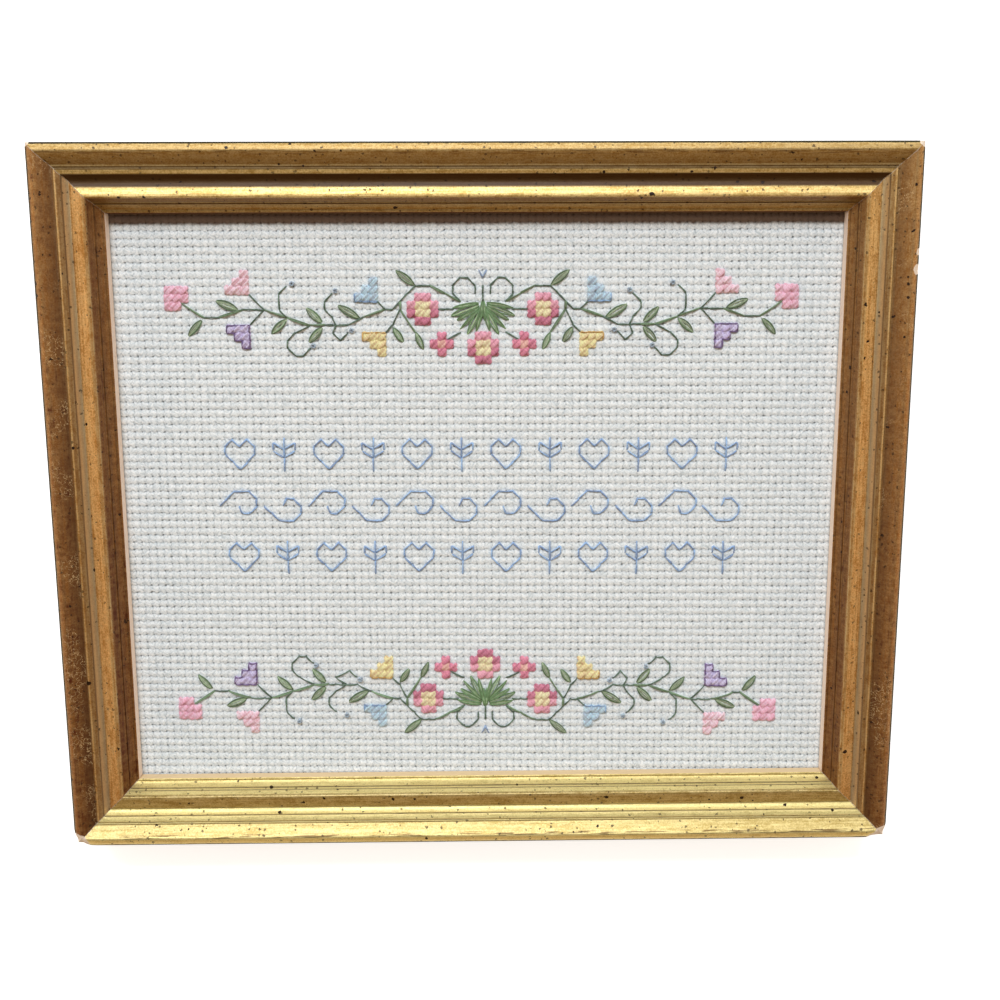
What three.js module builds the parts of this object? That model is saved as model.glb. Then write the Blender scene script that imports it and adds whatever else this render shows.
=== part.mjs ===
// A small embroidered sign: counted-thread cloth stretched over a board and held in a gilt wooden frame.
// It lies on its back. X runs along the longer side, Y towards the top of the sign, and Z up through its face.
// The origin is the middle of the frame's back. Lengths are in millimetres.
import * as THREE from "three";

// Driving sizes
const SIGHT_WIDTH = 174.8; // the opening in which the cloth shows
const SIGHT_HEIGHT = 140.4;
const RAIL_WIDTH = 15.3; // the moulding, from its outer side to the sight edge
const CLOTH_FACE = 6; // height of the cloth's face above the frame's back
const REBATE_WIDTH = 5.5; // how far the moulding's lip reaches over the cloth
const GAP = 0.3; // clearance between neighbouring pieces
const CLOTH_THICK = 1;
const BOARD_THICK = 2.5;

// Sizes that follow
const FRAME_WIDTH = SIGHT_WIDTH + 2 * RAIL_WIDTH;
const FRAME_HEIGHT = SIGHT_HEIGHT + 2 * RAIL_WIDTH;
const LIP_UNDERSIDE = CLOTH_FACE + GAP;
const REBATE_WALL = RAIL_WIDTH - REBATE_WIDTH;
const SHEET_WIDTH = FRAME_WIDTH - 2 * (REBATE_WALL + GAP);
const SHEET_HEIGHT = FRAME_HEIGHT - 2 * (REBATE_WALL + GAP);
const MITRE_SETBACK = GAP / Math.SQRT2; // along each rail, so that the mitred faces stand GAP apart

// Heights of the moulding's members above the frame's back
const CREST = CLOTH_FACE + 9.9;
const CREST_WALL = CLOTH_FACE + 8.8;
const SLOPE_BELLY = CLOTH_FACE + 9.1;
const SLOPE_FOOT = CLOTH_FACE + 7.5;
const FILLET = CLOTH_FACE + 7.7;
const VALLEY = CLOTH_FACE + 6.1;
const BEAD_SHOULDER = CLOTH_FACE + 7.1;
const BEAD_TOP = CLOTH_FACE + 7.3;
const BEAD_QUIRK = CLOTH_FACE + 5.1;
const BEAD_SKIRT = CLOTH_FACE + 4.6;
const LIP_TOP = CLOTH_FACE + 3.1;
const LIP_EDGE = CLOTH_FACE + 2.6;

// Their distances in from the moulding's outer side
const CREST_AT = 1.2;
const SLOPE_BELLY_AT = 3.4;
const SLOPE_LINE_AT = 4.8; // a scratched line near the foot of the slope
const FILLET_FROM = 5.6;
const FILLET_TO = 6.8;
const VALLEY_FROM = 6.9;
const VALLEY_LINE_AT = 7.5; // a scratched line along the valley
const BEAD_FROM = 8.1;
const BEAD_SHOULDER_AT = 9.6;
const BEAD_TOP_AT = 11.5;
const BEAD_TURN_AT = 12.4;
const BEAD_QUIRK_AT = 13;
const BEAD_TO = 14;
const LIP_TURN_AT = RAIL_WIDTH - 0.4;
const QUIRK = 0.2; // depth and half width of a scratched line

const CURVE_STEPS = 7;

const gilt = new THREE.MeshStandardMaterial({ color: 0xb8893f, metalness: 0.75, roughness: 0.4 });
const weave = new THREE.MeshStandardMaterial({ color: 0xe4e8e6, metalness: 0, roughness: 0.95 });
const card = new THREE.MeshStandardMaterial({ color: 0x9c8464, metalness: 0, roughness: 0.9 });

// The moulding in section: x is the distance in from the outer side, y the height above the back.
function mouldingSection() {
  const section = new THREE.Shape();
  section.moveTo(0, 0);
  section.lineTo(REBATE_WALL, 0);
  section.lineTo(REBATE_WALL, LIP_UNDERSIDE);
  section.lineTo(RAIL_WIDTH, LIP_UNDERSIDE);
  section.lineTo(RAIL_WIDTH, LIP_EDGE);
  section.quadraticCurveTo(RAIL_WIDTH, LIP_TOP, LIP_TURN_AT, LIP_TOP);
  section.lineTo(BEAD_TO + QUIRK, LIP_TOP);
  section.lineTo(BEAD_TO, LIP_TOP - QUIRK);
  section.quadraticCurveTo(BEAD_TO, BEAD_SKIRT, BEAD_QUIRK_AT + QUIRK, BEAD_QUIRK - QUIRK);
  section.lineTo(BEAD_QUIRK_AT, BEAD_QUIRK);
  section.quadraticCurveTo(BEAD_QUIRK_AT, BEAD_TOP, BEAD_TURN_AT, BEAD_TOP);
  section.lineTo(BEAD_TOP_AT, BEAD_TOP);
  section.quadraticCurveTo(BEAD_SHOULDER_AT, BEAD_SHOULDER, BEAD_FROM, VALLEY);
  section.lineTo(VALLEY_LINE_AT + QUIRK, VALLEY);
  section.lineTo(VALLEY_LINE_AT, VALLEY - QUIRK);
  section.lineTo(VALLEY_LINE_AT - QUIRK, VALLEY);
  section.lineTo(VALLEY_FROM, VALLEY);
  section.lineTo(FILLET_TO, FILLET);
  section.lineTo(FILLET_FROM, FILLET);
  section.lineTo(FILLET_FROM - QUIRK, SLOPE_FOOT);
  section.lineTo(SLOPE_LINE_AT + QUIRK, SLOPE_FOOT + QUIRK);
  section.lineTo(SLOPE_LINE_AT, SLOPE_FOOT + QUIRK);
  section.quadraticCurveTo(SLOPE_BELLY_AT, SLOPE_BELLY, CREST_AT, CREST);
  section.quadraticCurveTo(0, CREST, 0, CREST_WALL);
  section.closePath();
  return section;
}

// One length of the moulding with both ends mitred, its outer side on y = 0 and its sight edge towards -y.
function railGeometry(length) {
  const rail = new THREE.ExtrudeGeometry(mouldingSection(), {
    depth: length,
    bevelEnabled: false,
    curveSegments: CURVE_STEPS,
  });
  const points = rail.attributes.position;
  for (let i = 0; i < points.count; i += 1) {
    const inward = points.getX(i);
    const height = points.getY(i);
    const end = points.getZ(i) > length / 2 ? -1 : 1;
    points.setXYZ(i, end * (length / 2 - inward - MITRE_SETBACK), -inward, height);
  }
  rail.computeVertexNormals();
  return rail;
}

// A rail lies along one side of the frame, so many quarter turns from the top one.
function placedRail(name, length, distance, quarterTurns) {
  const rail = new THREE.Mesh(railGeometry(length), gilt);
  rail.name = name;
  rail.position.y = distance / 2;
  const side = new THREE.Group();
  side.rotation.z = (quarterTurns * Math.PI) / 2;
  side.add(rail);
  return side;
}

// The cloth and the board are flat sheets of one size that fill the rebate.
function flatSheet(name, thick, topHeight, material) {
  const sheet = new THREE.Mesh(new THREE.BoxGeometry(SHEET_WIDTH, SHEET_HEIGHT, thick), material);
  sheet.name = name;
  sheet.position.z = topHeight - thick / 2;
  return sheet;
}

const sign = new THREE.Group();
sign.add(placedRail("rail_top", FRAME_WIDTH, FRAME_HEIGHT, 0));
sign.add(placedRail("rail_left", FRAME_HEIGHT, FRAME_WIDTH, 1));
sign.add(placedRail("rail_bottom", FRAME_WIDTH, FRAME_HEIGHT, 2));
sign.add(placedRail("rail_right", FRAME_HEIGHT, FRAME_WIDTH, 3));
sign.add(flatSheet("cloth", CLOTH_THICK, CLOTH_FACE, weave));
sign.add(flatSheet("board", BOARD_THICK, CLOTH_FACE - CLOTH_THICK - GAP, card));

export default sign;
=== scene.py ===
# A small embroidered sign in a gilt wooden frame. It lies on its back, its face to the light.
import functools
import math

import bmesh
import bpy
import numpy as np
from mathutils import Matrix, Vector


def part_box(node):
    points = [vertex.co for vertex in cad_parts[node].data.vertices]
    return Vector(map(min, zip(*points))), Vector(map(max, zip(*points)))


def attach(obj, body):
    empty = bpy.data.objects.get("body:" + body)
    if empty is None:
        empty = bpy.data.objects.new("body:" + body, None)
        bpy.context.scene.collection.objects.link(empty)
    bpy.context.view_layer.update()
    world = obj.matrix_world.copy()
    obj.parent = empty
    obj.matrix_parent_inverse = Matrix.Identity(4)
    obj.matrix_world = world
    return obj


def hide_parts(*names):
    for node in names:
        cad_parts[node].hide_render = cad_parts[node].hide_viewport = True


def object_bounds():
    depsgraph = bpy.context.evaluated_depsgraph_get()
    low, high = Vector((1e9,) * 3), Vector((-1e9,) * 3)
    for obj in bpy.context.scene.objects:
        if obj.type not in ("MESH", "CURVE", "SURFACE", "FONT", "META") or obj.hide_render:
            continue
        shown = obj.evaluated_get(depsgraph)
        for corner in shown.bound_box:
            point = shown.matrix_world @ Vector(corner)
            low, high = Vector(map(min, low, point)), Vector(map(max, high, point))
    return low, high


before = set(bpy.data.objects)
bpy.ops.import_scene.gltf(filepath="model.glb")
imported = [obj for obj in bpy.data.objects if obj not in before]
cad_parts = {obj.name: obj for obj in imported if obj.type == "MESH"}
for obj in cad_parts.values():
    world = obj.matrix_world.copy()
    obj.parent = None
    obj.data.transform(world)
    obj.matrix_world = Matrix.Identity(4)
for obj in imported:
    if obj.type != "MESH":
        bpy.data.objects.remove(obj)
cad_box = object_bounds()

# The view. The camera hangs almost square over the sign, a little nearer to its top edge.
# One long soft light stands beyond that edge. The room is bright there and at both sides, and dim overhead.
MM = 0.001
CAMERA_PLACE = Vector((0.7, 50.8, 287)) * MM
CAMERA_TURN = (-10.07, -0.9, -0.21)  # degrees from looking straight down
camera = bpy.data.objects.new("camera", bpy.data.cameras.new("camera"))
camera.data.lens = 41.4
camera.data.sensor_width = 36
camera.data.clip_start = 10 * MM
camera.location = CAMERA_PLACE
camera.rotation_euler = [math.radians(turn) for turn in CAMERA_TURN]
bpy.context.collection.objects.link(camera)
bpy.context.scene.camera = camera
bpy.context.scene.view_settings.view_transform = "Standard"


def soft_light(name, place, size, power, colour):
    """A rectangular light at a place in metres, aimed at the sign."""
    data = bpy.data.lights.new(name, "AREA")
    data.shape = "RECTANGLE"
    data.size, data.size_y = size
    data.energy = power
    data.color = colour
    light = bpy.data.objects.new(name, data)
    light.location = place
    light.rotation_euler = (-Vector(place)).to_track_quat("-Z", "Y").to_euler()
    bpy.context.collection.objects.link(light)


soft_light("window", (-0.16, 1.0, 1.12), (0.9, 0.14), 14.5, (0.88, 0.94, 1))


def join(tree, node, sockets):
    """Sets each of these sockets of a node to a value, or joins it to another node's output."""
    for key, value in dict(sockets).items():
        if isinstance(value, bpy.types.NodeSocket):
            tree.links.new(value, node.inputs[key])
        else:
            node.inputs[key].default_value = value


def put(tree, kind, sockets=(), **settings):
    """Adds a node to a tree, with its settings and its sockets."""
    node = tree.nodes.new(kind)
    for key, value in settings.items():
        setattr(node, key, value)
    join(tree, node, sockets)
    return node


def vector(tree, x, y, z):
    """A vector put together from three numbers."""
    return put(tree, "ShaderNodeCombineXYZ", {0: x, 1: y, 2: z}).outputs[0]


def split(tree, value):
    """The three numbers of a vector."""
    return put(tree, "ShaderNodeSeparateXYZ", {0: value}).outputs


def sums(tree, operation, *values):
    """The output of a Math node."""
    return put(tree, "ShaderNodeMath", dict(enumerate(values)), operation=operation).outputs[0]


def times(tree, *values):
    """The product of two or more values."""
    return functools.reduce(lambda one, other: sums(tree, "MULTIPLY", one, other), values)


def plus(tree, *values):
    """The sum of two or more values."""
    return functools.reduce(lambda one, other: sums(tree, "ADD", one, other), values)


def largest(tree, *values):
    """The largest of two or more values."""
    return functools.reduce(lambda one, other: sums(tree, "MAXIMUM", one, other), values)


def minus(tree, value, taken):
    """The first value less the second."""
    return sums(tree, "SUBTRACT", value, taken)


def rest(tree, share):
    """What a share leaves of 1."""
    return minus(tree, 1.0, share)


def scaled(tree, value, factor, offset):
    """A value times a factor, with an offset added."""
    return sums(tree, "MULTIPLY_ADD", value, factor, offset)


def between(tree, value, low, high):
    """0 below low, 1 above high, smooth between them."""
    step = put(
        tree,
        "ShaderNodeMapRange",
        {"Value": value, "From Min": low, "From Max": high},
        interpolation_type="SMOOTHSTEP",
    )
    return step.outputs[0]


def blended(tree, share, first, second):
    """Two colours mixed by a share."""
    sockets = {"Factor": share, 6: first, 7: second}
    return put(tree, "ShaderNodeMix", sockets, data_type="RGBA").outputs[2]


def colour_of(code):
    """The linear colour of a six-figure screen colour."""
    parts = [int(code[i : i + 2], 16) / 255 for i in (0, 2, 4)]
    return (*[part / 12.92 if part < 0.04 else ((part + 0.055) / 1.055) ** 2.4 for part in parts], 1)


def new_finish(name):
    """A material, its tree and its main shader."""
    material = bpy.data.materials.new(name)
    material.use_nodes = True
    return material, material.node_tree, material.node_tree.nodes["Principled BSDF"]


def raised(tree, shader, relief, strength, depth):
    """Gives a finish a fine relief, of this depth in millimetres."""
    bump = put(tree, "ShaderNodeBump", {"Height": relief, "Strength": strength, "Distance": depth * MM})
    join(tree, shader, {"Normal": bump.outputs[0]})


def solid_piece(name, mesh):
    """An object at the origin that shows a mesh."""
    piece = bpy.data.objects.new(name, mesh)
    bpy.context.collection.objects.link(piece)
    return piece


def studio_room():
    """The room: bright beyond the top edge and at both sides, dim overhead, warm on the near side."""
    room = bpy.data.worlds.new("studio_room")
    room.use_nodes = True
    tree = room.node_tree
    direction = put(tree, "ShaderNodeTexCoord").outputs["Generated"]
    way = split(tree, direction)
    aside = between(tree, sums(tree, "ABSOLUTE", way[0]), 0.7, 0.93)
    near = between(tree, times(tree, way[1], -1.0), 0.2, 0.85)
    beyond = between(tree, way[1], -0.06, 0.28)
    colour = blended(tree, near, (0.07, 0.072, 0.075, 1), (0.48, 0.28, 0.09, 1))
    colour = blended(tree, beyond, colour, (0.75, 0.76, 0.73, 1))
    colour = blended(tree, aside, colour, (1.4, 1.04, 0.7, 1))
    join(tree, tree.nodes["Background"], {"Color": colour})
    return room


bpy.context.scene.world = studio_room()

FLOOR_REACH = 3
floor_mesh = bpy.data.meshes.new("floor")
corners = [(x * FLOOR_REACH, y * FLOOR_REACH, -0.02 * MM) for x, y in ((-1, -1), (1, -1), (1, 1), (-1, 1))]
floor_mesh.from_pydata(corners, [], [(0, 1, 2, 3)])
floor_paint, tree, shader = new_finish("floor_paint")
join(tree, shader, {"Base Color": (0.93, 0.93, 0.93, 1), "Roughness": 0.9})
join(tree, shader, {"Emission Color": (1, 1, 1, 1), "Emission Strength": 0.66})
floor_mesh.materials.append(floor_paint)
floor = solid_piece("floor", floor_mesh)

# The frame. Four lengths of one softwood moulding, mitred and glued at the corners. Its face is gessoed,
# gilded over red clay, toned with umber that stays in the hollows, and rubbed. Its sides are painted dark,
# and its back is bare wood. Its tone from rail to rail is also painted light and shade.
low, high = (np.array(corner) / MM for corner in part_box("rail_bottom"))
RAIL_WIDTH = high[1] - low[1]
CREST = high[2]
CLOTH_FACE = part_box("cloth")[1][2] / MM
HALF_WIDTH = cad_box[1][0] / MM
HALF_HEIGHT = cad_box[1][1] / MM
REBATE_WALL = 9.8
LIP_UNDERSIDE = CLOTH_FACE + 0.3
LIP_TOP = CLOTH_FACE + 3.1
SLOPE_FOOT = CLOTH_FACE + 7.5
FILLET = CLOTH_FACE + 7.7
VALLEY = CLOTH_FACE + 6.1
BEAD_TOP = CLOTH_FACE + 7.3
BEAD_QUIRK = CLOTH_FACE + 5.1
QUIRK = 0.17  # depth and half width of a line cut along the moulding
FACE_FROM = 4  # the first points of the section are its plain back and rebate


def curve_to(section, control, end, steps=12):
    """Carries the section on along a quadratic curve."""
    start, control, end = Vector(section[-1]), Vector(control), Vector(end)
    for step in range(1, steps + 1):
        t = step / steps
        section.append(tuple(start.lerp(control, t).lerp(control.lerp(end, t), t)))


def groove(section, at, level, rise=0, depth=QUIRK):
    """Cuts a fine line across the way of the section, which runs outwards."""
    section += [(at + depth, level), (at, level - depth), (at - depth, level + rise)]


def moulding_section():
    """Points of (distance in from the outer side, height) round the moulding, in millimetres."""
    section = [(0, 0), (REBATE_WALL, 0), (REBATE_WALL, LIP_UNDERSIDE), (RAIL_WIDTH, LIP_UNDERSIDE)]
    section.append((RAIL_WIDTH, LIP_TOP - 0.5))
    curve_to(section, (RAIL_WIDTH, LIP_TOP), (RAIL_WIDTH - 0.4, LIP_TOP), 5)
    groove(section, 14.6, LIP_TOP, 0, 0.1)
    curve_to(section, (13.95, LIP_TOP + 0.35), (13.5, BEAD_QUIRK - 0.3))
    groove(section, 13.35, BEAD_QUIRK - 0.2, 0.15)
    section.append((12.25, BEAD_TOP - 0.4))
    curve_to(section, (12.2, BEAD_TOP + 0.04), (11.9, BEAD_TOP + 0.02), 6)
    curve_to(section, (11.5, BEAD_TOP + 0.01), (11.2, BEAD_TOP - 0.08), 6)
    section.append((9.9, BEAD_TOP - 0.49))
    curve_to(section, (9.2, BEAD_TOP - 0.7), (8.7, VALLEY + 0.28), 6)
    section.append((8.6, VALLEY - 0.1))
    curve_to(section, (7.8, VALLEY), (7.15, FILLET - 0.5))
    section.append((7.05, FILLET - 0.2))
    section.append((5.75, FILLET + 0.16))
    groove(section, 5.5, FILLET + 0.06, 0.06, 0.13)
    section.append((4.9, SLOPE_FOOT + 0.3))
    curve_to(section, (3.6, CLOTH_FACE + 9), (2.3, CREST - 0.07))
    curve_to(section, (1.95, CREST + 0.04), (1.65, CREST - 0.05), 5)
    curve_to(section, (1.2, CREST - 0.19), (0.9, CREST - 0.34), 5)
    curve_to(section, (0.3, CREST - 0.66), (0.03, CREST - 1.1), 8)
    section.append((0, CREST - 1.2))
    section.append((0, CREST - 3))
    return section


SHARP_TURN = 18  # degrees; a gentler bend is left as it is


def softened(section, reach=0.09):
    """The section with each corner of its face rounded off a little, as gesso fills it."""
    soft = section[:FACE_FROM]
    face = section[FACE_FROM:]
    for before, corner, after in zip(section[FACE_FROM - 1 :], face, face[1:] + section[:1]):
        before, corner, after = Vector(before), Vector(corner), Vector(after)
        to_before, to_after = before - corner, after - corner
        turn = math.degrees(to_before.angle(-to_after))
        if turn < SHARP_TURN:
            soft.append(tuple(corner))
            continue
        start = corner + to_before.normalized() * min(reach, to_before.length * 0.4)
        end = corner + to_after.normalized() * min(reach, to_after.length * 0.4)
        middle = start.lerp(corner, 0.5).lerp(corner.lerp(end, 0.5), 0.5)
        soft += [tuple(start), tuple(middle), tuple(end)]
    return soft


def divided(section, longest=0.6):
    """The section with points added, so that no stretch of its face is long."""
    fine = section[:FACE_FROM]
    for start, end in zip(section[FACE_FROM - 1 :], section[FACE_FROM:]):
        pieces = max(1, math.ceil((Vector(end) - Vector(start)).length / longest))
        fine += [tuple(Vector(start).lerp(Vector(end), i / pieces)) for i in range(1, pieces + 1)]
    return fine


def hollowness(section, reach=0.9, deepest=1.2):
    """How far each point lies under its highest neighbour, from 0 on the crests to 1 in the lines."""
    points = np.array(section)
    depths = []
    for inward, height in section:
        near = points[FACE_FROM:][np.abs(points[FACE_FROM:, 0] - inward) < reach]
        depths.append(near[:, 1].max() - height if len(near) else 0)
    return np.clip(np.array(depths) / deepest, 0, 1)


def mark(mesh, fact, values):
    """Stores a number at each point of a mesh under a name."""
    mesh.attributes.new(fact, "FLOAT", "POINT").data.foreach_set("value", values)


def section_mesh():
    """The section as a closed line of edges. Its points carry what the gilding needs to know of them."""
    section = divided(softened(moulding_section()))
    mesh = bpy.data.meshes.new("section")
    count = len(section)
    points = [(x * MM, y * MM, 0) for x, y in section]
    mesh.from_pydata(points, [(i, (i + 1) % count) for i in range(count)], [])
    steps = np.linalg.norm(np.diff(np.array(section), axis=0, prepend=[section[0]]), axis=1)
    facts = {
        "inward": np.array(section)[:, 0] * MM,
        "height": np.array(section)[:, 1] * MM,
        "girth": np.cumsum(steps) * MM,
        "hollow": hollowness(section),
    }
    for fact, values in facts.items():
        mark(mesh, fact, values)
    return mesh


def new_shape_tree(name, inputs):
    """A Geometry Nodes tree that takes a mesh and some named inputs."""
    tree = bpy.data.node_groups.new(name, "GeometryNodeTree")
    tree.interface.new_socket("Geometry", in_out="INPUT", socket_type="NodeSocketGeometry")
    for label, kind in inputs:
        tree.interface.new_socket(label, in_out="INPUT", socket_type="NodeSocket" + kind)
    tree.interface.new_socket("Geometry", in_out="OUTPUT", socket_type="NodeSocketGeometry")
    return tree, put(tree, "NodeGroupInput").outputs


def close_shape_tree(tree, shape, material):
    """Ends a tree: real meshes, smooth faces and one material."""
    real = put(tree, "GeometryNodeRealizeInstances", {"Geometry": shape})
    smooth = put(tree, "GeometryNodeSetShadeSmooth", {"Geometry": real.outputs[0]})
    painted = put(tree, "GeometryNodeSetMaterial", {"Geometry": smooth.outputs[0], "Material": material})
    put(tree, "NodeGroupOutput", {"Geometry": painted.outputs[0]})


def shaped(tree, start, **values):
    """The mesh that a tree makes from a start mesh with these inputs."""
    maker = solid_piece("maker", start)
    modifier = maker.modifiers.new("shape", "NODES")
    modifier.node_group = tree
    for socket in tree.interface.items_tree:
        key = socket.name.lower().replace(" ", "_")
        if socket.in_out == "INPUT" and key in values:
            modifier[socket.identifier] = values[key]
    depsgraph = bpy.context.evaluated_depsgraph_get()
    mesh = bpy.data.meshes.new_from_object(maker.evaluated_get(depsgraph))
    maker.modifiers.remove(modifier)
    bpy.data.objects.remove(maker)
    return mesh


def keep(tree, shape, name, value):
    """Stores a number at each point of a shape under a name."""
    stored = put(tree, "GeometryNodeStoreNamedAttribute", {"Geometry": shape, "Name": name, "Value": value})
    return stored.outputs[0]


def kept(tree, name):
    """Reads such a number back."""
    return put(tree, "GeometryNodeInputNamedAttribute", {"Name": name}).outputs[0]


def mitred_length_tree():
    """Sweeps a section along X and cuts both ends at 45 degrees. Its stations stand closer near the ends."""
    tree, given = new_shape_tree(
        "mitred_length",
        [
            ("Length", "Float"),
            ("Setback", "Float"),
            ("Stations", "Int"),
            ("Unevenness", "Float"),
            ("Material", "Material"),
        ],
    )
    section = put(tree, "GeometryNodeMeshToCurve", {"Mesh": given["Geometry"]})
    line = put(tree, "GeometryNodeCurvePrimitiveLine", {"End": (1, 0, 0)})
    path = put(tree, "GeometryNodeResampleCurve", {"Curve": line.outputs[0], "Count": given["Stations"]})
    factor = put(tree, "GeometryNodeSplineParameter").outputs["Factor"]
    path = keep(tree, path.outputs[0], "station", scaled(tree, factor, 2.0, -1.0))
    sweep = put(
        tree,
        "GeometryNodeCurveToMesh",
        {"Curve": path, "Profile Curve": section.outputs[0], "Fill Caps": True},
    )
    station = kept(tree, "station")
    bunched = sums(tree, "SINE", times(tree, station, math.pi / 2))
    spaced = plus(tree, times(tree, station, 0.45), times(tree, bunched, 0.55))
    reach = minus(tree, times(tree, given["Length"], 0.5), kept(tree, "inward"))
    reach = minus(tree, reach, given["Setback"])
    along = times(tree, spaced, reach)
    place = vector(tree, along, times(tree, kept(tree, "inward"), -1.0), kept(tree, "height"))
    shape = keep(tree, sweep.outputs[0], "to_mitre", minus(tree, reach, sums(tree, "ABSOLUTE", along)))
    shape = keep(tree, shape, "along", along)
    shape = put(tree, "GeometryNodeSetPosition", {"Geometry": shape, "Position": place})
    bumps = put(tree, "ShaderNodeTexNoise", {"Scale": 260.0, "Detail": 2.0})
    rise = times(tree, minus(tree, bumps.outputs[0], 0.5), given["Unevenness"])
    on_face = sums(tree, "GREATER_THAN", kept(tree, "height"), (LIP_UNDERSIDE + 1) * MM)
    lift = vector(tree, 0.0, 0.0, times(tree, rise, on_face))
    shape = put(tree, "GeometryNodeSetPosition", {"Geometry": shape.outputs[0], "Offset": lift})
    close_shape_tree(tree, shape.outputs[0], given["Material"])
    return tree


def read(tree, name):
    """An attribute of the mesh, as a number, in a material."""
    return put(tree, "ShaderNodeAttribute", attribute_name=name).outputs["Fac"]


def grain(tree, place, scale, detail=3.0, roughness=0.55):
    """A noise read at a place."""
    sockets = {"Vector": place, "Scale": scale, "Detail": detail, "Roughness": roughness}
    return put(tree, "ShaderNodeTexNoise", sockets).outputs[0]


def stretched(tree, lengthways, crossways):
    """A place on the moulding, scaled by these numbers a metre, so that a noise read there is drawn out."""
    along = times(tree, read(tree, "along"), lengthways)
    girth = times(tree, read(tree, "girth"), crossways)
    return vector(tree, along, girth, read(tree, "rail"))


def band(tree, value, first, second, third, fourth):
    """1 between the middle two of four lengths in millimetres, and 0 outside the outer two."""
    rise = between(tree, value, first * MM, second * MM)
    return minus(tree, rise, between(tree, value, third * MM, fourth * MM))


def specks(tree, place, scale, share, reach):
    """1 in small ragged specks, held by a share of the cells of a random pattern, and 0 between them."""
    cells = put(tree, "ShaderNodeTexVoronoi", {"Vector": place, "Scale": scale})
    kind = put(tree, "ShaderNodeSeparateColor", {0: cells.outputs["Color"]}).outputs
    size = scaled(tree, kind[1], 0.6 * reach, 0.4 * reach)
    ragged = grain(tree, place, 3.0 * scale, 1.0)
    size = times(tree, size, scaled(tree, ragged, 2.6, -0.3))
    inside = sums(tree, "LESS_THAN", cells.outputs["Distance"], size)
    return times(tree, inside, sums(tree, "LESS_THAN", kind[0], share))


# fine dark lines along the moulding, each from and to so many millimetres in from its outer side
UMBER_LINES = [(5.4, 5.58), (7.02, 7.2), (8.54, 8.7), (12.95, 13.05), (13.28, 13.52)]


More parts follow.
